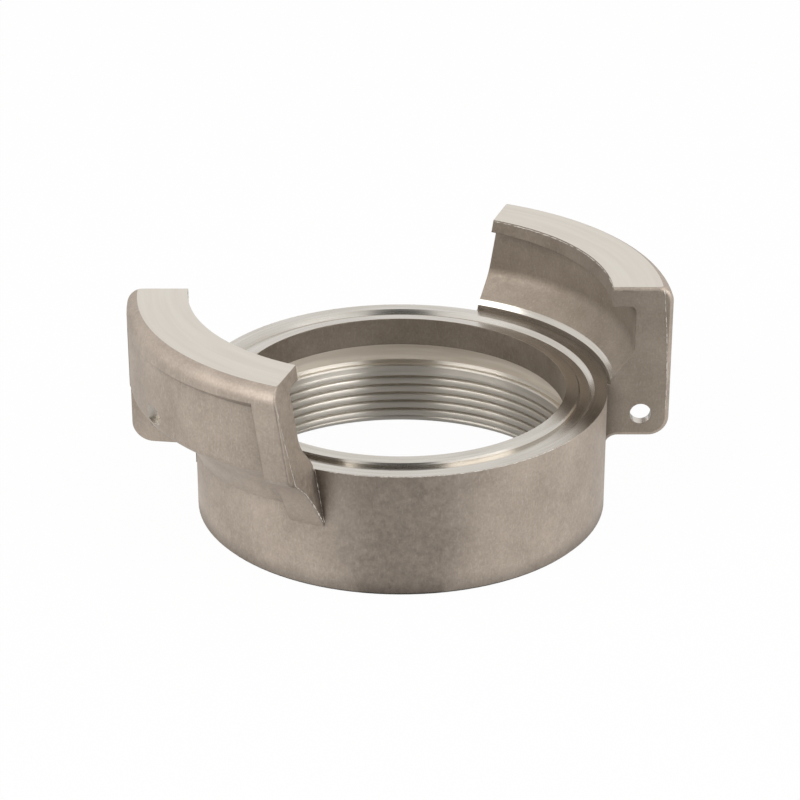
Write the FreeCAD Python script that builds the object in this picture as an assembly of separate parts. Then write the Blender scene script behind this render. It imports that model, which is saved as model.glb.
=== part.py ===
import FreeCAD
import Part

import math
import os

# Quarter turn hose coupling half in cast stainless steel, one piece.
# Millimetres. The bore axis is Z, the threaded end stands on Z = 0 and the claws point up.
# Angles are in degrees, counted from +X towards +Y.

# Threaded body, its wall counted outwards from the thread
thread_major_diameter = 87.884
thread_wall = 6.058
body_height = 30.6
mouth_chamfer = 0.7
relief_depth = 0.658
relief_width = 6.2
bore_length = 6.9
bottom_chamfer = 0.6

# Sealing face, from its rim inwards: outer land, seal groove, inner land as far as the bore
outer_land_width = 3.1
groove_break_width = 1.1
groove_width = 2.4
inner_land_width = 3.4
groove_depth = 1.05
groove_chamfer = 0.5
land_chamfer = 0.4
land_rise = 0.25

# Claws, with their radial sizes counted from the outside of the body
claw_count = 2
claw_rise = 25.4
claw_overhang = 15.4
claw_corner_radius = 4.0
top_machining_stock = 0.25
lip_clearance = 0.8
lip_thickness_at_stop = 4.9
lip_thickness_at_tip = 3.4
lip_root_chamfer = 0.9
recess_depth = 6.4
recess_floor_rise = 10.5
recess_slope = 50.0
recess_floor_radius = 6.0
register_width = 1.6
register_rise = 2.6
register_undercut = 0.45

# Underside of a claw, from its outer edge down to the body
skirt_edge_rise = 2.8
skirt_edge_radius = 2.4
skirt_foot_drop = 14.4
skirt_outer_slope = 30.0
skirt_foot_slope = 62.0
skirt_radius = 28.0

# Tip of a claw, a cast end face that leans outwards as it goes down
tip_angle = 62.4
tip_skew = 10.0
tip_draft = 9.2
tip_edge_radius = 0.4

# Shallow panel in the outside of a claw, deepest beside the rib at the tip
panel_depth = 3.45
panel_offset = 3.4
panel_start_angle = 8.0
panel_top_rise = 19.4
panel_edge_rise = 3.2
panel_foot_drop = 12.6
panel_wall_slope = 10.0
tip_rib_width = 3.6

# Ear at the other end of a claw, with the hole for a retaining chain
ear_edge_thickness = 2.0
ear_root_thickness = 4.2
ear_drop = 13.9
ear_corner_radius = 5.0
ear_root_radius = 3.0
ear_edge_radius = 1.2
chain_hole_diameter = 5.2
chain_hole_edge = 7.0
chain_hole_drop = 7.8

# Working sizes
overlap = 2.0
reach = 200.0
tolerance = 0.001
face_z = body_height
top_z = face_z + claw_rise
thread_radius = thread_major_diameter / 2
body_radius = thread_radius + thread_wall
outer_radius = body_radius + claw_overhang
lip_radius = body_radius + lip_clearance
recess_radius = body_radius + recess_depth
claw_spacing = 360.0 / claw_count
axis = FreeCAD.Vector(0, 0, 1)
centre = FreeCAD.Vector(0, 0, 0)


def section(corners):
    """Face in the XZ plane through corners given as (radius, height, rounding)."""
    points = [FreeCAD.Vector(r, 0, z) for r, z, rounding in corners]
    starts = []
    ends = []
    arcs = []
    for i, (r, z, rounding) in enumerate(corners):
        corner = points[i]
        back = (points[i - 1] - corner).normalize()
        ahead = (points[(i + 1) % len(points)] - corner).normalize()
        if rounding == 0:
            starts.append(corner)
            ends.append(corner)
            arcs.append(None)
            continue
        half = back.getAngle(ahead) / 2
        middle = (back + ahead).normalize()
        starts.append(corner + back * (rounding / math.tan(half)))
        ends.append(corner + ahead * (rounding / math.tan(half)))
        arcs.append(corner + middle * (rounding / math.sin(half) - rounding))
    edges = []
    for i in range(len(points)):
        if arcs[i]:
            edges.append(Part.Arc(starts[i], arcs[i], ends[i]).toShape())
        edges.append(Part.LineSegment(ends[i], starts[(i + 1) % len(points)]).toShape())
    return Part.Face(Part.Wire(edges))


def block_beyond(point, normal):
    """Large block whose one face passes through the point and looks back against the normal."""
    block = Part.makeBox(reach, reach, reach, FreeCAD.Vector(-reach / 2, -reach / 2, 0))
    block.Placement = FreeCAD.Placement(point, FreeCAD.Rotation(axis, normal))
    return block


def at_angle(radius, angle, z):
    """Point on a circle round the bore axis."""
    turn = math.radians(angle)
    return FreeCAD.Vector(radius * math.cos(turn), radius * math.sin(turn), z)


def leaning_normal(angle):
    """Normal of an upright face at the given angle, leaning with the draft of the tip."""
    turn = math.radians(angle)
    lean = math.radians(tip_draft)
    return FreeCAD.Vector(-math.sin(turn) * math.cos(lean), math.cos(turn) * math.cos(lean), math.sin(lean))


def edges_in_plane(shape, point, normal):
    """Edges of the shape that lie in the plane through the point."""
    return [
        edge for edge in shape.Edges
        if all(abs((vertex.Point - point).dot(normal)) < tolerance for vertex in edge.Vertexes)
        and abs((edge.CenterOfMass - point).dot(normal)) < tolerance
    ]


def skirt_corners(edge_radius, edge_z, foot_radius, foot_z, edge_rounding):
    """Underside of a claw from its outer edge to its foot, hollowed by one large arc."""
    outer = math.tan(math.radians(skirt_outer_slope))
    foot = math.tan(math.radians(skirt_foot_slope))
    bend_r = (edge_z - foot_z + foot * foot_radius - outer * edge_radius) / (foot - outer)
    bend_z = foot_z + foot * (bend_r - foot_radius)
    return [
        (edge_radius, edge_z, edge_rounding),
        (bend_r, bend_z, skirt_radius),
        (foot_radius - overlap, foot_z - foot * overlap, 0),
    ]


# Body turned from one section: thread wall, relief, bore and sealing face
relief_radius = thread_radius + relief_depth
relief_top = face_z - bore_length
relief_bottom = relief_top - relief_width
groove_floor = face_z - groove_depth
groove_mouth_radius = body_radius - outer_land_width
groove_outer_radius = groove_mouth_radius - groove_break_width
groove_inner_radius = groove_outer_radius - groove_width
groove_break_radius = groove_mouth_radius - groove_break_width / 2
bore_radius = groove_inner_radius - inner_land_width
body = section([
    (body_radius - bottom_chamfer, 0, 0),
    (body_radius, bottom_chamfer, 0),
    (body_radius, face_z, 0),
    (groove_mouth_radius, face_z, 0),
    (groove_break_radius, face_z - groove_chamfer, 0),
    (groove_outer_radius, groove_floor, 0),
    (groove_inner_radius, groove_floor, 0),
    (groove_inner_radius, face_z - land_chamfer, 0),
    (groove_inner_radius - land_chamfer, face_z, 0),
    (bore_radius, face_z + land_rise, 0),
    (bore_radius, relief_top, 0),
    (relief_radius, relief_top, 0),
    (relief_radius, relief_bottom, 0),
    (thread_radius, relief_bottom - (relief_radius - thread_radius), 0),
    (thread_radius, mouth_chamfer, 0),
    (thread_radius + mouth_chamfer, 0, 0),
]).revolve(centre, axis, 360)

# Blank of one claw, over its whole sweep and past its tip
foot_z = face_z - skirt_foot_drop
blank = section([
    (body_radius - overlap, face_z, 0),
    (lip_radius, face_z, 0),
    (lip_radius, top_z + top_machining_stock, 0),
    (outer_radius, top_z + top_machining_stock, claw_corner_radius),
] + skirt_corners(outer_radius, face_z + skirt_edge_rise, body_radius, foot_z, skirt_edge_radius))
blank = blank.revolve(centre, axis, tip_angle + claw_spacing / 8)

# Tip plane, skewed from the radius and leaning outwards as it goes down
tip_point = at_angle(lip_radius, tip_angle, top_z)
tip_normal = leaning_normal(tip_angle + tip_skew)
blank = blank.cut(block_beyond(tip_point, tip_normal))

# Ear in the plane of the claw's end, cut to the round of the claw and thinner at its edge
ear_z = face_z - ear_drop
ear = section([
    (recess_radius + overlap, face_z + claw_rise / 2, 0),
    (outer_radius, face_z + claw_rise / 2, 0),
    (outer_radius, ear_z, ear_corner_radius),
    (body_radius, ear_z, ear_root_radius),
    (body_radius, ear_z - ear_root_radius - overlap, 0),
    (body_radius - overlap, ear_z - ear_root_radius - overlap, 0),
    (body_radius - overlap, face_z - overlap, 0),
    (recess_radius + overlap, face_z - overlap, 0),
]).extrude(FreeCAD.Vector(0, ear_root_thickness, 0))
ear = ear.common(Part.makeCylinder(outer_radius, reach))
ear_back = FreeCAD.Vector(ear_root_thickness - ear_edge_thickness, outer_radius - body_radius, 0).normalize()
ear = ear.cut(block_beyond(FreeCAD.Vector(outer_radius, ear_edge_thickness, face_z), ear_back))
claw = blank.fuse(ear).removeSplitter()

# Rounded cast edges at both ends, then the machined top
end_edges = [
    edge for edge in edges_in_plane(claw, centre, FreeCAD.Vector(0, 1, 0))
    if edge.CenterOfMass.x > lip_radius + tolerance
]
claw = claw.makeFillet(ear_edge_radius, end_edges)
tip_edges = [
    edge for edge in edges_in_plane(claw, tip_point, tip_normal)
    if math.hypot(edge.CenterOfMass.x, edge.CenterOfMass.y) > lip_radius + overlap
]
claw = claw.makeFillet(tip_edge_radius, tip_edges)
claw = claw.cut(block_beyond(FreeCAD.Vector(0, 0, top_z), axis))

# Shallow outside panel, turned about an axis set towards the ear so that it fades out there
panel_radius = outer_radius - panel_depth
panel_foot_radius = body_radius - panel_offset * math.cos(math.radians(tip_angle / 2))
panel = section([
    (panel_radius, face_z + panel_top_rise, 0),
    (panel_radius + reach / 4, face_z + panel_top_rise + reach / 4, 0),
    (panel_radius + reach / 4, 0, 0),
    (panel_foot_radius - overlap, 0, 0),
] + skirt_corners(
    panel_radius, face_z + panel_edge_rise, panel_foot_radius,
    face_z - panel_foot_drop, skirt_edge_radius
)[::-1])
panel.rotate(centre, axis, panel_start_angle)
panel = panel.revolve(centre, axis, tip_angle + claw_spacing / 8)
panel.translate(FreeCAD.Vector(panel_offset, 0, 0))
rib_point = at_angle(outer_radius, tip_angle, top_z) - tip_normal * tip_rib_width
rib_normal = leaning_normal(tip_angle + tip_skew + panel_wall_slope)
panel = panel.cut(block_beyond(rib_point, rib_normal))
panel = panel.cut(Part.makeCylinder(body_radius, reach))
claw = claw.cut(panel)

# Hook recess under the lip, its ceiling tilted so that the mating lip is drawn down
slope = math.radians(recess_slope)
register_radius = body_radius + register_width
slope_start = register_radius + register_undercut
bend_back = recess_floor_radius * math.tan((math.pi / 2 - slope) / 2)
bend_z = face_z + recess_floor_rise - bend_back
slope_z = bend_z - (recess_radius - slope_start) * math.tan(slope)
recess = section([
    (body_radius - overlap, face_z, 0),
    (body_radius, face_z, 0),
    (register_radius, face_z + register_rise, 0),
    (slope_start, slope_z, 0),
    (recess_radius, bend_z, recess_floor_radius),
    (recess_radius, top_z + overlap, 0),
    (body_radius - overlap, top_z + overlap, 0),
]).revolve(centre, axis, 360)
mid_angle = tip_angle / 2
ceiling_z = top_z - (lip_thickness_at_stop + lip_thickness_at_tip) / 2
lip_taper = lip_thickness_at_stop - lip_thickness_at_tip
lip_mid_radius = (lip_radius + recess_radius) / 2
ceiling_tilt = math.atan(lip_taper / (2 * lip_mid_radius * math.sin(math.radians(mid_angle))))
ceiling_normal = at_angle(-math.sin(ceiling_tilt), mid_angle + 90, math.cos(ceiling_tilt))
recess = recess.cut(block_beyond(FreeCAD.Vector(0, 0, ceiling_z), ceiling_normal))
root_edges = [
    edge for edge in edges_in_plane(recess, FreeCAD.Vector(0, 0, ceiling_z), ceiling_normal)
    if math.hypot(edge.Vertexes[0].X, edge.Vertexes[0].Y) > lip_radius
]
recess = recess.makeChamfer(lip_root_chamfer, root_edges)
claw = claw.cut(recess)

# Chain hole through the ear
chain_hole = Part.makeCylinder(
    chain_hole_diameter / 2, 2 * ear_root_thickness,
    FreeCAD.Vector(outer_radius - chain_hole_edge, -ear_root_thickness / 2, face_z - chain_hole_drop),
    FreeCAD.Vector(0, 1, 0)
)
claw = claw.cut(chain_hole)

claws = []
for i in range(claw_count):
    turned_claw = claw.copy()
    turned_claw.rotate(centre, axis, i * claw_spacing)
    claws.append(turned_claw)
coupling = body.fuse(claws).removeSplitter()

os.makedirs("parts", exist_ok=True)
coupling.exportStep("parts/coupling_body.step")
print("solids", len(coupling.Solids), "valid", coupling.isValid(), "volume", round(coupling.Volume))
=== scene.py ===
import math

import bmesh
import bpy
from mathutils import Matrix, Vector
from mathutils.bvhtree import BVHTree


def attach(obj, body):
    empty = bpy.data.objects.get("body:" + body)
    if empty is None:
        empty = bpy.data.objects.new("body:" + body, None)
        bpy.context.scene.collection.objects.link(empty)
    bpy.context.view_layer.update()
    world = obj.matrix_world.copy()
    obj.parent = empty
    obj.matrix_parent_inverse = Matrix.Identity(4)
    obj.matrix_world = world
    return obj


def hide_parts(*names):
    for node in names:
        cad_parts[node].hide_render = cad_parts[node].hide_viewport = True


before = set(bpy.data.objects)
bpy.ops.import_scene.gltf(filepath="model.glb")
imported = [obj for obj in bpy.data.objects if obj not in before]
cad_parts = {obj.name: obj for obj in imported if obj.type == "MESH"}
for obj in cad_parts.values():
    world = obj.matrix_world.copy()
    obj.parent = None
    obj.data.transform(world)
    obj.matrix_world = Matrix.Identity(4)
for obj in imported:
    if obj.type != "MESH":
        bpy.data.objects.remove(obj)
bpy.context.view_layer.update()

MM = 0.001
NEAR = 0.02 * MM
MERGE_DISTANCE = 0.002 * MM

# Places on the casting, as the part's source has them
BODY_RADIUS = 50.0 * MM
BORE_RADIUS = 40.0 * MM
THREAD_RADIUS = 43.942 * MM
MOUTH_REACH = 1.5 * MM
RELIEF_RADIUS = 44.6 * MM
RELIEF_BOTTOM = 17.5 * MM
RELIEF_TOP = 23.7 * MM
FACE_Z = 30.6 * MM
GROOVE_FLOOR = 29.55 * MM
REGISTER_RADIUS = 51.6 * MM
REGISTER_TOP = 33.2 * MM
TOP_Z = 56.0 * MM
HOLE_X = 58.39 * MM
HOLE_Z = 22.8 * MM
HOLE_RADIUS = 2.6 * MM

# Round mark in the outer wall of the left claw, cut level from the front
MARK_X = -57.4 * MM
MARK_Z = 36.9 * MM
MARK_RADIUS = 2.1 * MM
MARK_FRONT = -45.0 * MM
MARK_FLOOR = -28.2 * MM
MARK_SIDES = 40

# The pipe thread: eleven to the inch, its crest cut flat and its root narrow
THREAD_PITCH = 25.4 / 11 * MM
THREAD_DEPTH = 1.479 * MM
THREAD_CREST = 1.6 * MM
THREAD_ROOT = 0.3 * MM
THREAD_CUT = 1.1 * MM
THREAD_START = 1.3 * MM
THREAD_END = 15.4 * MM
THREAD_SINK = 0.06 * MM
THREAD_STEPS = 160
THREAD_SOFT = 0.15 * MM
CREST_DROP = 0.8 * THREAD_SOFT
ROOT_LIFT = 0.1 * THREAD_SOFT
ROOT_DRAW = 0.2 * THREAD_SOFT

# At its ends the thread fades to a small share of its size, within a share of a turn
RUN_OUT_TURNS = 0.3
RUN_OUT_SIZE = 0.03

# The plain land above the thread, and the countersunk lead below it
LAND_STEP = 0.02 * MM
LAND_BOTTOM = 14.75 * MM
LAND_TOP = 16.8 * MM
LAND_CHAMFER = 0.35 * MM
LEAD_BOTTOM = 0.75 * MM
LEAD_TOP = 2.3 * MM
LEAD_CHAMFER = 0.9 * MM

# Edges sharper than these angles stay sharp
CAST_CREASE = math.radians(22)
THREAD_CREASE = math.radians(40)
LAND_CREASE = math.radians(30)
FLASH_CREASE = math.radians(60)

# How far a face's normal goes along an axis, from nearly all the way to hardly at all
ALONG = 0.95
LEVEL = 0.9
HALFWAY = 0.5
UPRIGHT = 0.3
TILTED = 0.2
RAISED = 0.1
ACROSS = 0.05

# Where a noise pattern has most of its values
NOISE_LOW = 0.3
NOISE_HIGH = 0.7

# Patterns of the casting: sizes in millimetres, shares that are mixed in, and values of the tone
# where it is darkest and lightest
CLOUD_SIZE = 11.0
MOTTLE_SIZE = 1.4
MOTTLE_SHARE = 0.4
GRAIN_SIZE = 0.55
GRAIN_SHARE = 0.3
CAST_TONES = (0.36, 0.64)
STROKE_WIDTH = 0.4
STROKE_LENGTH = 1.5
STROKE_COLOUR = "#E4DCD1"
STROKE_FROM = 0.55
STROKE_FULL = 0.75
PEEL_HEIGHT = 0.04 * MM
PIT_HEIGHT = 0.035 * MM
# Reach of the painted shade that darkens hollows
SHADE_REACH = 5.0 * MM
EDGE_WEAR = 0.35 * MM

# Tool marks: gaps in millimetres, changes to a radian round the bore, and values of the tone
MARK_GAP = 0.35
MARK_CHANGES = 1.2
BAND_GAP = 1.6
BAND_CHANGES = 2.0
TURNED_TONES = (0.35, 0.65)

# Sockets of a Mix node for colours, which share their names with its other sockets
MIX_A, MIX_B, MIX_RESULT = 6, 7, 2


def linear(code):
    """Linear colour of an sRGB hex value, with full alpha."""
    parts = [int(code[i:i + 2], 16) / 255 for i in (1, 3, 5)]
    return tuple(
        v / 12.92 if v <= 0.04045 else ((v + 0.055) / 1.055) ** 2.4 for v in parts) + (1.0,)


def per_metre(size_mm):
    """Scale of a pattern whose grains are the given size in millimetres."""
    return 1.0 / (size_mm * MM)


def add(tree, kind, settings=None, inputs=None):
    """One node of a tree with its settings. An input is a value, or the output that feeds it."""
    made = tree.nodes.new(kind)
    for name, value in (settings or {}).items():
        setattr(made, name, value)
    for name, value in (inputs or {}).items():
        if isinstance(value, bpy.types.NodeSocket):
            tree.links.new(value, made.inputs[name])
        else:
            made.inputs[name].default_value = value
    return made


def set_stops(ramp, tones, dark, light):
    """The two stops of a colour ramp, with hex values for their colours."""
    for stop, position, code in zip(ramp.color_ramp.elements, tones, (dark, light)):
        stop.position = position
        stop.color = linear(code)


def new_material(name):
    """Material with an empty shader, and its tree, shader and Object coordinates."""
    material = bpy.data.materials.new(name)
    material.use_nodes = True
    tree = material.node_tree
    tree.nodes.clear()
    shader = add(tree, "ShaderNodeBsdfPrincipled")
    add(tree, "ShaderNodeOutputMaterial", inputs={"Surface": shader.outputs["BSDF"]})
    place = add(tree, "ShaderNodeTexCoord").outputs["Object"]
    return material, tree, shader, place


def ring_place(tree, place, along, across):
    """Coordinates round the bore axis: radius and height at one scale, the way round at another."""
    parts = add(tree, "ShaderNodeSeparateXYZ", inputs={"Vector": place}).outputs
    square_x = add(tree, "ShaderNodeMath", {"operation": "MULTIPLY"}, {
        0: parts["X"], 1: parts["X"]})
    square = add(tree, "ShaderNodeMath", {"operation": "MULTIPLY_ADD"}, {
        0: parts["Y"], 1: parts["Y"], 2: square_x.outputs[0]})
    radius = add(tree, "ShaderNodeMath", {"operation": "SQRT"}, {0: square.outputs[0]})
    angle = add(tree, "ShaderNodeMath", {"operation": "ARCTAN2"}, {0: parts["Y"], 1: parts["X"]})
    round_way = add(tree, "ShaderNodeMath", {"operation": "MULTIPLY"}, {
        0: angle.outputs[0], 1: along})
    out_way = add(tree, "ShaderNodeMath", {"operation": "MULTIPLY"}, {
        0: radius.outputs[0], 1: across})
    up_way = add(tree, "ShaderNodeMath", {"operation": "MULTIPLY"}, {0: parts["Z"], 1: across})
    return add(tree, "ShaderNodeCombineXYZ", inputs={
        "X": out_way.outputs[0], "Y": round_way.outputs[0], "Z": up_way.outputs[0],
    }).outputs["Vector"]


def round_the_bore(tree, place):
    """Direction of a tool mark at a place: level, and square to the bore axis."""
    level = add(tree, "ShaderNodeVectorMath", {"operation": "CROSS_PRODUCT"}, {
        0: (0.0, 0.0, 1.0), 1: place})
    unit = add(tree, "ShaderNodeVectorMath", {"operation": "NORMALIZE"}, {
        0: level.outputs["Vector"]})
    return unit.outputs["Vector"]


def cast_steel(name, dark, light, stroke_share):
    """Investment cast stainless steel, blasted and pickled: warm mid grey, matt, finely grained,
    clouded where the blast has left it darker, with short upright strokes where it was brushed.
    Painted shade darkens the colour in hollows and corners, and edges look worn."""
    material, tree, shader, place = new_material(name)
    cloud = add(tree, "ShaderNodeTexNoise", inputs={
        "Vector": place, "Scale": per_metre(CLOUD_SIZE), "Detail": 3.0})
    mottle = add(tree, "ShaderNodeTexNoise", inputs={
        "Vector": place, "Scale": per_metre(MOTTLE_SIZE), "Detail": 4.0})
    grain = add(tree, "ShaderNodeTexNoise", inputs={
        "Vector": place, "Scale": per_metre(GRAIN_SIZE), "Detail": 3.0})
    mottled = add(tree, "ShaderNodeMix", {"data_type": "FLOAT"}, {
        "Factor": MOTTLE_SHARE, "A": cloud.outputs["Fac"], "B": mottle.outputs["Fac"]})
    tone = add(tree, "ShaderNodeMix", {"data_type": "FLOAT"}, {
        "Factor": GRAIN_SHARE, "A": mottled.outputs["Result"], "B": grain.outputs["Fac"]})
    ramp = add(tree, "ShaderNodeValToRGB", inputs={"Fac": tone.outputs["Result"]})
    set_stops(ramp, CAST_TONES, dark, light)
    drawn = add(tree, "ShaderNodeMapping", inputs={
        "Vector": place,
        "Scale": (per_metre(STROKE_WIDTH), per_metre(STROKE_WIDTH), per_metre(STROKE_LENGTH))})
    strokes = add(tree, "ShaderNodeTexNoise", inputs={
        "Vector": drawn.outputs["Vector"], "Scale": 1.0, "Detail": 2.0})
    stroke = add(tree, "ShaderNodeMapRange", inputs={
        "Value": strokes.outputs["Fac"], "From Min": STROKE_FROM, "From Max": STROKE_FULL,
        "To Min": 0.0, "To Max": stroke_share})
    brushed = add(tree, "ShaderNodeMix", {"data_type": "RGBA"}, {
        "Factor": stroke.outputs["Result"], MIX_A: ramp.outputs["Color"],
        MIX_B: linear(STROKE_COLOUR)})
    # Painted shade: ambient occlusion darkens the colour in hollows and corners
    hollow = add(tree, "ShaderNodeAmbientOcclusion", {"samples": 6}, {
        "Color": brushed.outputs[MIX_RESULT], "Distance": SHADE_REACH})
    tree.links.new(hollow.outputs["Color"], shader.inputs["Base Color"])
    rough = add(tree, "ShaderNodeMapRange", inputs={
        "Value": mottle.outputs["Fac"], "From Min": NOISE_LOW, "From Max": NOISE_HIGH,
        "To Min": 0.5, "To Max": 0.62})
    tree.links.new(rough.outputs["Result"], shader.inputs["Roughness"])
    shader.inputs["Metallic"].default_value = 1.0
    worn = add(tree, "ShaderNodeBevel", {"samples": 4}, {"Radius": EDGE_WEAR})
    peel = add(tree, "ShaderNodeBump", inputs={
        "Strength": 0.25, "Distance": PEEL_HEIGHT, "Height": mottle.outputs["Fac"],
        "Normal": worn.outputs["Normal"]})
    pits = add(tree, "ShaderNodeBump", inputs={
        "Strength": 0.5, "Distance": PIT_HEIGHT, "Height": grain.outputs["Fac"],
        "Normal": peel.outputs["Normal"]})
    tree.links.new(pits.outputs["Normal"], shader.inputs["Normal"])
    return material


def turned_steel(name, light, dark, rough, mark_depth, stretch, metal=1.0):
    """Stainless steel fresh from the lathe: bright, with fine rings from the tool that run round
    the bore. The real marks are about 0.1 mm apart and are drawn at 0.35 mm so that they show."""
    material, tree, shader, place = new_material(name)
    rings = add(tree, "ShaderNodeTexNoise", inputs={
        "Vector": ring_place(tree, place, MARK_CHANGES, per_metre(MARK_GAP)),
        "Scale": 1.0, "Detail": 3.0})
    bands = add(tree, "ShaderNodeTexNoise", inputs={
        "Vector": ring_place(tree, place, BAND_CHANGES, per_metre(BAND_GAP)),
        "Scale": 1.0, "Detail": 2.0})
    ramp = add(tree, "ShaderNodeValToRGB", inputs={"Fac": bands.outputs["Fac"]})
    set_stops(ramp, TURNED_TONES, dark, light)
    tree.links.new(ramp.outputs["Color"], shader.inputs["Base Color"])
    rough_low, rough_high = rough
    roughness = add(tree, "ShaderNodeMapRange", inputs={
        "Value": rings.outputs["Fac"], "From Min": NOISE_LOW, "From Max": NOISE_HIGH,
        "To Min": rough_low, "To Max": rough_high})
    tree.links.new(roughness.outputs["Result"], shader.inputs["Roughness"])
    shader.inputs["Metallic"].default_value = metal
    shader.inputs["Anisotropic"].default_value = stretch
    shader.inputs["Anisotropic Rotation"].default_value = 0.25
    tree.links.new(round_the_bore(tree, place), shader.inputs["Tangent"])
    marks = add(tree, "ShaderNodeBump", inputs={
        "Strength": 0.4, "Distance": mark_depth * MM, "Height": rings.outputs["Fac"]})
    tree.links.new(marks.outputs["Normal"], shader.inputs["Normal"])
    return material


# Skin of the casting: warm mid grey, matt, finely grained
CAST = cast_steel("cast_stainless_steel", "#A89B8F", "#C4B7AA", stroke_share=0.22)
# The same skin with painted shade, for the bore, the ears' end faces and the claws' inner walls:
# darker, with fewer strokes
BORE = cast_steel("cast_in_shade", "#93877A", "#AB9F92", stroke_share=0.12)
# Sealing face, registers, chain holes and threaded end: bright satin, streaked across the rings
TURNED = turned_steel(
    "turned_face", "#D0CBC3", "#C3BDB4", rough=(0.19, 0.27), mark_depth=0.003, stretch=0.7)
# Fresh thread: pale satin, with a long streak of light on each ridge
THREADED = turned_steel(
    "cut_thread", "#EEE8DE", "#E1DBD1", rough=(0.34, 0.40), mark_depth=0.003, stretch=0.95)
# Flash and burr: real thin lines of metal, painted nearly white and partly matt as a glint
RUBBED = turned_steel(
    "rubbed_bright_edge", "#E6E0D7", "#D2CBC1", rough=(0.40, 0.50), mark_depth=0.003,
    stretch=0.0, metal=0.35)
# Relief below the bore: dull from a coarse feed, and painted pale and partly matt as a highlight
RELIEF = turned_steel(
    "turned_relief", "#EFE8DD", "#E2D9CC", rough=(0.62, 0.7), mark_depth=0.006, stretch=0.3,
    metal=0.6)
# Claw tops, and the mark in the left claw: pale even grey
TOPS = turned_steel(
    "faced_claw_tops", "#DAD4CA", "#D5CEC4", rough=(0.40, 0.46), mark_depth=0.003, stretch=0.5)
FINISHES = (CAST, TURNED, RELIEF, TOPS, BORE, THREADED)


def finish_of(centre, normal):
    """Finish of a face of the casting, by its place and the way that it looks."""
    radius = math.hypot(centre.x, centre.y)
    outward = (centre.x * normal.x + centre.y * normal.y) / max(radius, NEAR)
    from_hole = math.hypot(abs(centre.x) - HOLE_X, centre.z - HOLE_Z)
    from_mark = math.hypot(centre.x - MARK_X, centre.z - MARK_Z)
    if from_hole < HOLE_RADIUS + NEAR and abs(normal.y) < HALFWAY:
        return TURNED
    if from_mark < MARK_RADIUS + NEAR and centre.y < MARK_FLOOR + NEAR and (
            abs(normal.y) < ACROSS or normal.y < -ALONG):
        return TOPS
    if centre.z > TOP_Z - NEAR and normal.z > LEVEL:
        return TOPS
    if centre.z > GROOVE_FLOOR - NEAR and radius < BODY_RADIUS - NEAR and (
            normal.z > RAISED or radius > BORE_RADIUS + NEAR):
        return TURNED
    if FACE_Z < centre.z < REGISTER_TOP + NEAR and radius < REGISTER_RADIUS + NEAR and (
            TILTED < normal.z < ALONG):
        return TURNED
    if centre.z < RELIEF_BOTTOM and radius < THREAD_RADIUS + MOUTH_REACH:
        return THREADED
    if radius < RELIEF_RADIUS + NEAR and RELIEF_BOTTOM - NEAR < centre.z < RELIEF_TOP + NEAR:
        return RELIEF
    if centre.z < NEAR and normal.z < -LEVEL:
        return TURNED
    # Painted shade: the bore, the ears' end faces and the claws' inner walls take the darker copy
    # of the skin
    if radius < BORE_RADIUS + NEAR and abs(normal.z) < UPRIGHT:
        return BORE
    if radius > BODY_RADIUS and abs(centre.y) < NEAR and abs(normal.y) > ALONG:
        return BORE
    if centre.z > FACE_Z + NEAR and radius > BODY_RADIUS and outward < -UPRIGHT:
        return BORE
    return CAST


def new_object(name, data):
    """Object in the scene with the given data."""
    made = bpy.data.objects.new(name, data)
    bpy.context.collection.objects.link(made)
    return made


def opened(shape):
    """Mesh opened for work on its faces and edges."""
    work = bmesh.new()
    work.from_mesh(shape)
    return work


def soften(work, crease):
    """Smooth shading, except at edges sharper than the crease angle."""
    for face in work.faces:
        face.smooth = True
    for edge in work.edges:
        edge.smooth = len(edge.link_faces) == 2 and edge.calc_face_angle(0.0) < crease


def evaluated(blank):
    """Mesh that an object has with its modifiers. The object goes."""
    bpy.context.view_layer.update()
    graph = bpy.context.evaluated_depsgraph_get()
    shape = bpy.data.meshes.new_from_object(blank.evaluated_get(graph))
    bpy.data.objects.remove(blank)
    return shape


def marked(shape):
    """The mesh with the round mark cut into it."""
    work = bmesh.new()
    bmesh.ops.create_cone(
        work, cap_ends=True, segments=MARK_SIDES, radius1=MARK_RADIUS, radius2=MARK_RADIUS,
        depth=MARK_FLOOR - MARK_FRONT)
    bmesh.ops.rotate(work, verts=work.verts, matrix=Matrix.Rotation(math.pi / 2, 3, "X"))
    bmesh.ops.translate(
        work, verts=work.verts, vec=(MARK_X, (MARK_FRONT + MARK_FLOOR) / 2, MARK_Z))
    tool = bpy.data.meshes.new("mark")
    work.to_mesh(tool)
    work.free()
    cutter = new_object("mark", tool)
    blank = new_object("blank", shape)
    cut = blank.modifiers.new("cut", "BOOLEAN")
    cut.operation = "DIFFERENCE"
    cut.solver = "EXACT"
    cut.object = cutter
    done = evaluated(blank)
    bpy.data.objects.remove(cutter)
    return done


def dressed_casting():
    """Copy of the solid as one closed skin, with a finish for every face."""
    whole = bpy.data.objects["coupling_body"].data.copy()
    work = opened(whole)
    bmesh.ops.remove_doubles(work, verts=work.verts, dist=MERGE_DISTANCE)
    work.to_mesh(whole)
    work.free()
    skin = marked(whole)
    skin.name = "casting"
    skin.materials.clear()
    for material in FINISHES:
        skin.materials.append(material)
    work = opened(skin)
    bmesh.ops.remove_doubles(work, verts=work.verts, dist=MERGE_DISTANCE)
    for face in work.faces:
        face.material_index = FINISHES.index(finish_of(face.calc_center_median(), face.normal))
    soften(work, CAST_CREASE)
    work.to_mesh(skin)
    work.free()
    piece = new_object("casting", skin)
    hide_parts("coupling_body")
    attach(piece, "root")
    return piece


def finished_piece(name, work, material, crease):
    """Piece of the coupling made of a worked mesh."""
    soften(work, crease)
    shape = bpy.data.meshes.new(name)
    shape.materials.append(material)
    work.to_mesh(shape)
    work.free()
    piece = new_object(name, shape)
    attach(piece, "root")


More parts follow.
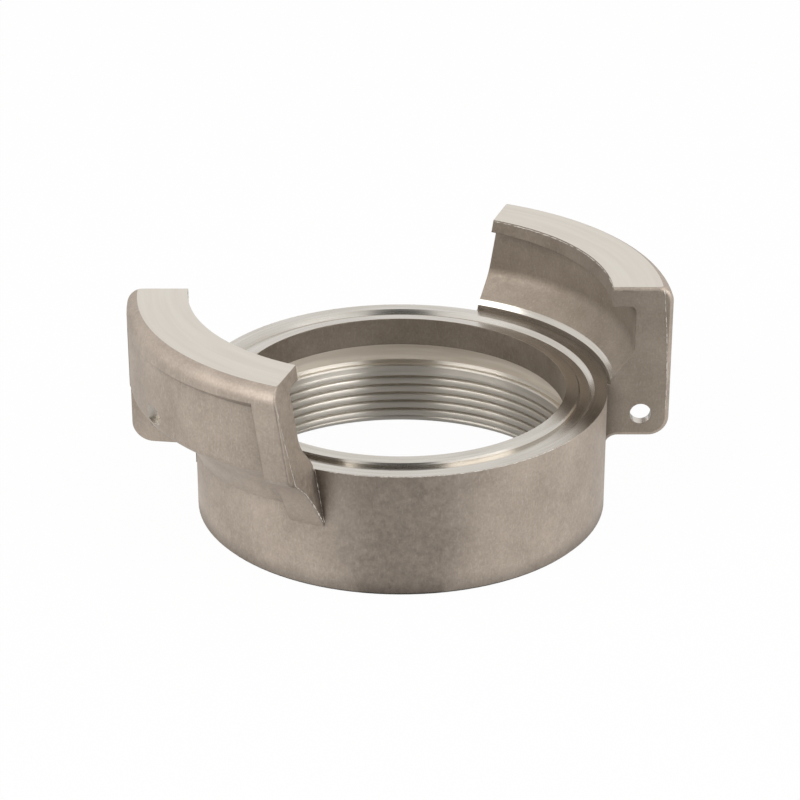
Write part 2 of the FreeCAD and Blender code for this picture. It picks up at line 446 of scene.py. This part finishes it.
def new_group(name, inputs):
    """Geometry tree with one output and the named inputs, and the sockets that give them."""
    tree = bpy.data.node_groups.new(name, "GeometryNodeTree")
    tree.interface.new_socket("Geometry", in_out="OUTPUT", socket_type="NodeSocketGeometry")
    for title, kind in inputs.items():
        tree.interface.new_socket(title, in_out="INPUT", socket_type="NodeSocket" + kind)
    return tree, add(tree, "NodeGroupInput").outputs


def end_group(tree, mesh, finish):
    """The end of a geometry tree: its mesh made real, in its finish."""
    real = add(tree, "GeometryNodeRealizeInstances", inputs={"Geometry": mesh})
    dressed = add(tree, "GeometryNodeSetMaterial", inputs={
        "Geometry": real.outputs["Geometry"], "Material": finish})
    add(tree, "NodeGroupOutput", inputs={"Geometry": dressed.outputs["Geometry"]})


def grown(tree, given):
    """Mesh that a geometry tree makes of the given inputs."""
    blank = new_object("blank", bpy.data.meshes.new("blank"))
    modifier = blank.modifiers.new("grown", "NODES")
    modifier.node_group = tree
    for socket in tree.interface.items_tree:
        if socket.in_out == "INPUT":
            modifier[socket.identifier] = given[socket.name]
    return evaluated(blank)


def poly_line(name, points, closed):
    """Object with straight lines from point to point."""
    line = bpy.data.curves.new(name, "CURVE")
    line.dimensions = "3D"
    spline = line.splines.new("POLY")
    spline.points.add(len(points) - 1)
    for point, place in zip(spline.points, points):
        point.co = (*place, 1.0)
    spline.use_cyclic_u = closed
    return new_object(name, line)


def thread_tree():
    """Node tree that sweeps one thread form round and up a wall, faded in and out at its ends."""
    tree, given = new_group("thread_cutting", {
        "Form": "Object", "Radius": "Float", "Turns": "Float", "Rise": "Float", "Start": "Float",
        "Run-out": "Float", "Steps": "Int", "Finish": "Material"})
    helix = add(tree, "GeometryNodeCurveSpiral", inputs={
        "Resolution": given["Steps"], "Rotations": given["Turns"], "Start Radius": given["Radius"],
        "End Radius": given["Radius"], "Height": given["Rise"]})
    upright = add(tree, "GeometryNodeSetCurveNormal", {"mode": "Z_UP"}, {
        "Curve": helix.outputs["Curve"]})
    along = add(tree, "GeometryNodeSplineParameter").outputs["Factor"]
    ahead = add(tree, "ShaderNodeMath", {"operation": "SUBTRACT"}, {0: 1.0, 1: along})
    from_end = add(tree, "ShaderNodeMath", {"operation": "MINIMUM"}, {
        0: along, 1: ahead.outputs[0]})
    size = add(tree, "ShaderNodeMapRange", {"interpolation_type": "SMOOTHSTEP"}, {
        "Value": from_end.outputs[0], "From Min": 0.0, "From Max": given["Run-out"],
        "To Min": RUN_OUT_SIZE, "To Max": 1.0})
    faded = add(tree, "GeometryNodeSetCurveRadius", inputs={
        "Curve": upright.outputs["Curve"], "Radius": size.outputs["Result"]})
    form = add(tree, "GeometryNodeObjectInfo", inputs={"Object": given["Form"]})
    swept = add(tree, "GeometryNodeCurveToMesh", inputs={
        "Curve": faded.outputs["Curve"], "Profile Curve": form.outputs["Geometry"],
        "Fill Caps": True})
    lift = add(tree, "ShaderNodeCombineXYZ", inputs={"Z": given["Start"]})
    placed = add(tree, "GeometryNodeTransform", inputs={
        "Geometry": swept.outputs["Mesh"], "Translation": lift.outputs["Vector"]})
    end_group(tree, placed.outputs["Geometry"], given["Finish"])
    return tree


def thread_form():
    """Closed outline of one pitch of the thread: half a root, flank, crest, flank, half a root, and
    back inside the wall."""
    crest, root = 0.5 * THREAD_CREST, 0.5 * (THREAD_PITCH - THREAD_ROOT)
    low = THREAD_DEPTH - THREAD_CUT
    upper = [
        (THREAD_DEPTH, crest - THREAD_SOFT), (THREAD_DEPTH - CREST_DROP, crest),
        (low + ROOT_LIFT, root - ROOT_DRAW), (low, root), (low, 0.5 * THREAD_PITCH),
        (-THREAD_SINK, 0.5 * THREAD_PITCH),
    ]
    outline = upper + [(inward, -up) for inward, up in reversed(upper)]
    return poly_line("thread_form", [(inward, up, 0.0) for inward, up in outline], closed=True)


def turned_ring(section):
    """Closed ring with the given outline of radius and height, turned round the bore axis."""
    work = bmesh.new()
    rings = []
    for i in range(THREAD_STEPS):
        turn = 2 * math.pi * i / THREAD_STEPS
        rings.append([
            work.verts.new((r * math.cos(turn), r * math.sin(turn), z)) for r, z in section])
    for i, ring in enumerate(rings):
        after = rings[(i + 1) % THREAD_STEPS]
        for j in range(len(section)):
            k = (j + 1) % len(section)
            work.faces.new((ring[j], after[j], after[k], ring[k]))
    bmesh.ops.recalc_face_normals(work, faces=work.faces)
    return work


def thread_end(bottom, bottom_chamfer, top):
    """Plain ring that stands in from the wall as far as the thread does."""
    inner = THREAD_RADIUS - THREAD_DEPTH - LAND_STEP
    outer = THREAD_RADIUS + THREAD_SINK
    return turned_ring([
        (outer, bottom), (inner + bottom_chamfer, bottom), (inner, bottom + bottom_chamfer),
        (inner, top - LAND_CHAMFER), (inner + LAND_CHAMFER, top), (outer, top),
    ])


def cut_thread():
    """The ridges of the pipe thread, on the plain wall that the solid has there, with the land
    between the thread and the relief, and the lead at the open end."""
    form = thread_form()
    rise = THREAD_END - THREAD_START
    turns = rise / THREAD_PITCH
    shape = grown(thread_tree(), {
        "Form": form, "Radius": THREAD_RADIUS, "Turns": turns, "Rise": rise,
        "Start": THREAD_START, "Run-out": RUN_OUT_TURNS / turns, "Steps": THREAD_STEPS,
        "Finish": THREADED})
    bpy.data.objects.remove(form)
    work = opened(shape)
    bmesh.ops.recalc_face_normals(work, faces=work.faces)
    bpy.data.meshes.remove(shape)
    finished_piece("pipe_thread", work, THREADED, THREAD_CREASE)
    land = thread_end(LAND_BOTTOM, LAND_CHAMFER, LAND_TOP)
    finished_piece("thread_land", land, THREADED, LAND_CREASE)
    lead = thread_end(LEAD_BOTTOM, LEAD_CHAMFER, LEAD_TOP)
    finished_piece("thread_lead", lead, THREADED, LAND_CREASE)


# Lines of flash on the left claw and its side of the body, in millimetres: name, half thickness,
# wander, and the points that the line is laid through on the surface
FLASH = [
    ("tip_ridge", 0.10, 0.12, [
        (-27.45, -59.1, 52.4), (-25.6, -58.6, 42.0), (-23.5, -57.7, 32.1), (-21.3, -52.8, 27.5),
        (-19.3, -49.4, 22.3), (-17.9, -47.3, 17.8)]),
    ("tip_point", 0.16, 0.10, [(-19.9, -50.4, 24.0), (-19.0, -48.9, 21.2), (-18.2, -47.8, 18.9)]),
    ("tip_root", 0.11, 0.06, [
        (-19.54, -46.02, 30.3), (-18.53, -46.44, 23.9), (-17.6, -46.8, 17.4)]),
    ("ear_root", 0.11, 0.14, [(-50.0, 0.0, 30.2), (-50.0, 0.0, 23.0), (-50.0, -0.1, 17.2)]),
    ("ear_seam", 0.13, 0.24, [
        (-63.0, 0.0, 55.4), (-64.0, 0.0, 44.0), (-64.5, 0.0, 32.0), (-64.4, 0.0, 24.0)]),
    ("lip_burr", 0.17, 0.30, [
        (-24.0, -45.2, 55.6), (-33.0, -38.6, 55.6), (-41.0, -30.0, 55.6), (-46.9, -19.5, 55.6),
        (-50.0, -9.0, 55.6), (-50.8, -0.9, 55.6)]),
]
FLASH_STEP = 0.3 * MM
FLASH_GRAIN = per_metre(1.1)
FLASH_SIDES = 6

# Where the noise along a line makes it thinnest and thickest, and its thinnest share
SWELL_FROM = 0.42
SWELL_FULL = 0.6
SWELL_LEAST = 0.15

# Burr on the rim of the sealing face, from angle to angle
BURR_FROM = math.radians(-109.0)
BURR_TO = math.radians(-38.0)
BURR_POINTS = 60
BURR_DROP = 0.1 * MM
BURR_HALF = 0.11 * MM
BURR_WANDER = 0.3 * MM
BURR_GRAIN = per_metre(0.5)


def flash_tree():
    """Node tree that lays a thin uneven line of metal along a path."""
    tree, given = new_group("flash_line", {
        "Path": "Object", "Thickness": "Float", "Wander": "Float", "Grain": "Float",
        "Step": "Float", "Finish": "Material"})
    path = add(tree, "GeometryNodeObjectInfo", inputs={"Object": given["Path"]})
    fine = add(tree, "GeometryNodeResampleCurve", {"mode": "LENGTH"}, {
        "Curve": path.outputs["Geometry"], "Length": given["Step"]})
    noise = add(tree, "ShaderNodeTexNoise", inputs={"Scale": given["Grain"], "Detail": 2.0})
    centred = add(tree, "ShaderNodeVectorMath", {"operation": "SUBTRACT"}, {
        0: noise.outputs["Color"], 1: (0.5, 0.5, 0.5)})
    drift = add(tree, "ShaderNodeVectorMath", {"operation": "SCALE"}, {
        0: centred.outputs["Vector"], "Scale": given["Wander"]})
    moved = add(tree, "GeometryNodeSetPosition", inputs={
        "Geometry": fine.outputs["Curve"], "Offset": drift.outputs["Vector"]})
    swell = add(tree, "ShaderNodeMapRange", inputs={
        "Value": noise.outputs["Fac"], "From Min": SWELL_FROM, "From Max": SWELL_FULL,
        "To Min": SWELL_LEAST, "To Max": 1.0})
    sized = add(tree, "GeometryNodeSetCurveRadius", inputs={
        "Curve": moved.outputs["Geometry"], "Radius": swell.outputs["Result"]})
    ring = add(tree, "GeometryNodeCurvePrimitiveCircle", inputs={
        "Resolution": FLASH_SIDES, "Radius": given["Thickness"]})
    swept = add(tree, "GeometryNodeCurveToMesh", inputs={
        "Curve": sized.outputs["Curve"], "Profile Curve": ring.outputs["Curve"],
        "Scale": swell.outputs["Result"], "Fill Caps": True})
    end_group(tree, swept.outputs["Mesh"], given["Finish"])
    return tree


def on_the_skin(skin, corners):
    """Points on the skin nearest to the straight lines between the corners."""
    run = []
    for start, end in zip(corners, corners[1:]):
        start, end = Vector(start) * MM, Vector(end) * MM
        count = max(int((end - start).length / (2 * FLASH_STEP)), 1)
        run += [start.lerp(end, i / count) for i in range(count)]
    run.append(Vector(corners[-1]) * MM)
    return [skin.find_nearest(place)[0] for place in run]


def rim_points():
    """Points along the rim of the sealing face where it has a burr."""
    turns = [BURR_FROM + (BURR_TO - BURR_FROM) * i / (BURR_POINTS - 1) for i in range(BURR_POINTS)]
    return [
        (BODY_RADIUS * math.cos(turn), BODY_RADIUS * math.sin(turn), FACE_Z - BURR_DROP)
        for turn in turns]


def lay_flash(casting):
    """All lines of flash and burr, laid on the skin of the casting, and again half a turn on."""
    tree = flash_tree()
    work = opened(casting.data)
    skin = BVHTree.FromBMesh(work)
    work.free()
    lines = [
        (name, half * MM, wander * MM, on_the_skin(skin, corners), FLASH_GRAIN)
        for name, half, wander, corners in FLASH]
    lines.append(("face_burr", BURR_HALF, BURR_WANDER, rim_points(), BURR_GRAIN))
    for name, half, wander, points, grain in lines:
        path = poly_line(name, points, closed=False)
        shape = grown(tree, {
            "Path": path, "Thickness": half, "Wander": wander, "Grain": grain,
            "Step": FLASH_STEP, "Finish": RUBBED})
        bpy.data.objects.remove(path)
        work = opened(shape)
        bpy.data.meshes.remove(shape)
        twin = bmesh.ops.duplicate(work, geom=work.verts[:] + work.edges[:] + work.faces[:])
        turned = [item for item in twin["geom"] if isinstance(item, bmesh.types.BMVert)]
        bmesh.ops.rotate(work, verts=turned, matrix=Matrix.Rotation(math.pi, 3, "Z"))
        bmesh.ops.recalc_face_normals(work, faces=work.faces)
        finished_piece(name, work, RUBBED, FLASH_CREASE)


WHITE = (1.0, 1.0, 1.0, 1.0)
WORLD_LIGHT = 0.6

# The floor: how far it goes from the middle, its paper in plain light and in the metal, where it is
# a grey of painted shade, and the share of its white that is its own glow to the camera and to the
# metal
FLOOR_HALF = 3.0
FLOOR_PAPER = "#F4F4F2"
FLOOR_MIRRORED = "#A8A8A6"
FLOOR_WHITE = 0.97
MIRROR_SHARE = 0.8

# What the metal mirrors by direction: strength in the open front of the studio, and behind, with
# the cosine at which the front begins. The floor's is seen from a point on the Y axis, and is
# painted shade on the floor that only the metal sees.
FRONT_TONE = 0.1
FRONT_EDGE = -0.86
FLOOR_FRONT_TONE = 0.35
FLOOR_FRONT_EDGE = -0.7
FLOOR_BACK_TONE = 0.5
FLOOR_APEX = -40.0 * MM
BEFORE_EDGE = 0.02
AFTER_EDGE = 0.03
BACK_FROM = 0.55
BACK_FULL = 0.85

# Painted shade on the floor inside the ring: its strength as the metal mirrors it
RING_SHADE = 0.65

# Two soft lamps, left and right of the camera
LAMP_OUT = 0.95
LAMP_FORWARD = -0.75
LAMP_UP = 0.65
LAMP_AIM = (0.0, 0.0, 0.03)
LAMP_SIZE = 1.0
LAMP_POWER = 7.0

# The camera looks along +Y and down on the middle of the sealing face
VIEW_DISTANCE = 636.4 * MM
VIEW_ELEVATION = math.radians(24.63)
LENS = 117.99
SENSOR_WIDTH = 36.0
PICTURE_WIDTH = 800
SHIFT_RIGHT = -1.0
SHIFT_UP = -15.5
CLIP_START = 0.05
CLIP_END = 20.0


def seen_by_camera(tree, mirrored):
    """One where a camera ray looks, the given share for glossy and transmission rays, and nought
    for the rays that light."""
    path = add(tree, "ShaderNodeLightPath").outputs
    other = add(tree, "ShaderNodeMath", {"operation": "MAXIMUM"}, {
        0: path["Is Glossy Ray"], 1: path["Is Transmission Ray"]})
    share = add(tree, "ShaderNodeMath", {"operation": "MULTIPLY"}, {
        0: other.outputs[0], 1: mirrored})
    seen = add(tree, "ShaderNodeMath", {"operation": "MAXIMUM"}, {
        0: path["Is Camera Ray"], 1: share.outputs[0]})
    return seen.outputs[0]


def open_front(tree, place, apex, edge, low, behind):
    """Strength of the studio by direction seen from a point on the Y axis: pale at the sides, low
    in the open front, and a value of its own behind. To the camera it is one."""
    moved = add(tree, "ShaderNodeVectorMath", {"operation": "SUBTRACT"}, {
        0: place, 1: (0.0, apex, 0.0)})
    parts = add(tree, "ShaderNodeSeparateXYZ", inputs={"Vector": moved.outputs["Vector"]})
    flat = add(tree, "ShaderNodeCombineXYZ", inputs={
        "X": parts.outputs["X"], "Y": parts.outputs["Y"], "Z": 0.0})
    unit = add(tree, "ShaderNodeVectorMath", {"operation": "NORMALIZE"}, {
        0: flat.outputs["Vector"]})
    ahead = add(tree, "ShaderNodeSeparateXYZ", inputs={"Vector": unit.outputs["Vector"]})
    front = add(tree, "ShaderNodeMapRange", {"interpolation_type": "SMOOTHSTEP"}, {
        "Value": ahead.outputs["Y"], "From Min": edge - BEFORE_EDGE, "From Max": edge + AFTER_EDGE,
        "To Min": low, "To Max": 1.0})
    back = add(tree, "ShaderNodeMapRange", {"interpolation_type": "SMOOTHSTEP"}, {
        "Value": ahead.outputs["Y"], "From Min": BACK_FROM, "From Max": BACK_FULL,
        "To Min": 1.0, "To Max": behind})
    both = add(tree, "ShaderNodeMath", {"operation": "MULTIPLY"}, {
        0: front.outputs["Result"], 1: back.outputs["Result"]})
    camera_ray = add(tree, "ShaderNodeLightPath").outputs["Is Camera Ray"]
    strength = add(tree, "ShaderNodeMath", {"operation": "MAXIMUM"}, {
        0: both.outputs[0], 1: camera_ray})
    return strength.outputs[0]


def white_floor():
    """Large pale floor under the part: white to the camera, with a trace of the part's shadow. To
    the metal it is grey paper with painted shade inside the ring, in front and behind.
    """
    mesh = bpy.data.meshes.new("floor")
    corners = [
        (-FLOOR_HALF, -FLOOR_HALF, 0), (FLOOR_HALF, -FLOOR_HALF, 0), (FLOOR_HALF, FLOOR_HALF, 0),
        (-FLOOR_HALF, FLOOR_HALF, 0),
    ]
    mesh.from_pydata(corners, [], [(0, 1, 2, 3)])
    floor = new_object("floor", mesh)
    material = bpy.data.materials.new("white_paper")
    material.use_nodes = True
    tree = material.node_tree
    tree.nodes.clear()
    light = add(tree, "ShaderNodeLightPath").outputs
    # Painted shade: the paper is a darker grey where the metal mirrors it
    tint = add(tree, "ShaderNodeMix", {"data_type": "RGBA"}, {
        "Factor": light["Is Glossy Ray"], MIX_A: linear(FLOOR_PAPER),
        MIX_B: linear(FLOOR_MIRRORED)})
    paper = add(tree, "ShaderNodeBsdfDiffuse", inputs={"Color": tint.outputs[MIX_RESULT]})
    place = add(tree, "ShaderNodeTexCoord").outputs["Object"]
    reach = add(tree, "ShaderNodeVectorMath", {"operation": "LENGTH"}, {0: place})
    # Painted shade inside the ring, seen only in the metal
    shade = add(tree, "ShaderNodeMapRange", {"interpolation_type": "SMOOTHSTEP"}, {
        "Value": reach.outputs["Value"], "From Min": THREAD_RADIUS, "From Max": BODY_RADIUS,
        "To Min": RING_SHADE, "To Max": 1.0})
    lit = add(tree, "ShaderNodeMath", {"operation": "MAXIMUM"}, {
        0: shade.outputs["Result"], 1: light["Is Camera Ray"]})
    # Painted shade on the floor in front and behind, seen only in the metal
    by_way = open_front(
        tree, place, FLOOR_APEX, FLOOR_FRONT_EDGE, FLOOR_FRONT_TONE, FLOOR_BACK_TONE)
    tone = add(tree, "ShaderNodeMath", {"operation": "MULTIPLY"}, {0: by_way, 1: lit.outputs[0]})
    glow = add(tree, "ShaderNodeEmission", inputs={"Color": WHITE, "Strength": tone.outputs[0]})
    share = add(tree, "ShaderNodeMath", {"operation": "MULTIPLY"}, {
        0: seen_by_camera(tree, MIRROR_SHARE), 1: FLOOR_WHITE})
    mixed = add(tree, "ShaderNodeMixShader", inputs={
        "Fac": share.outputs[0], 1: paper.outputs["BSDF"], 2: glow.outputs["Emission"]})
    add(tree, "ShaderNodeOutputMaterial", inputs={"Surface": mixed.outputs["Shader"]})
    mesh.materials.append(material)


def white_world():
    """Even pale light from all round, white where it is looked at."""
    world = bpy.data.worlds.new("studio")
    bpy.context.scene.world = world
    world.use_nodes = True
    tree = world.node_tree
    tree.nodes.clear()
    light = add(tree, "ShaderNodeBackground", inputs={"Color": WHITE, "Strength": WORLD_LIGHT})
    way = add(tree, "ShaderNodeTexCoord").outputs["Generated"]
    seen = add(tree, "ShaderNodeBackground", inputs={
        "Color": WHITE, "Strength": open_front(tree, way, 0.0, FRONT_EDGE, FRONT_TONE, 1.0)})
    mixed = add(tree, "ShaderNodeMixShader", inputs={
        "Fac": seen_by_camera(tree, 1.0), 1: light.outputs["Background"],
        2: seen.outputs["Background"]})
    add(tree, "ShaderNodeOutputWorld", inputs={"Surface": mixed.outputs["Shader"]})


def soft_lamp(name, side):
    """Square soft lamp that looks at the part from the given side."""
    lamp = bpy.data.lights.new(name, "AREA")
    lamp.size = LAMP_SIZE
    lamp.energy = LAMP_POWER
    made = new_object(name, lamp)
    made.location = (side * LAMP_OUT, LAMP_FORWARD, LAMP_UP)
    way = Vector(LAMP_AIM) - Vector((side * LAMP_OUT, LAMP_FORWARD, LAMP_UP))
    made.rotation_euler = way.to_track_quat("-Z", "Y").to_euler()


def camera():
    """The camera, with its shift in pixels of the picture."""
    view = bpy.data.cameras.new("camera")
    view.lens = LENS
    view.sensor_width = SENSOR_WIDTH
    view.shift_x = SHIFT_RIGHT / PICTURE_WIDTH
    view.shift_y = SHIFT_UP / PICTURE_WIDTH
    view.clip_start = CLIP_START
    view.clip_end = CLIP_END
    made = new_object("camera", view)
    made.location = (
        0.0, -VIEW_DISTANCE * math.cos(VIEW_ELEVATION),
        FACE_Z + VIEW_DISTANCE * math.sin(VIEW_ELEVATION))
    made.rotation_euler = (math.pi / 2 - VIEW_ELEVATION, 0.0, 0.0)
    bpy.context.scene.camera = made


lay_flash(dressed_casting())
cut_thread()
white_floor()
white_world()
soft_lamp("left_box", -1)
soft_lamp("right_box", 1)
camera()
bpy.context.scene.view_settings.view_transform = "Standard"
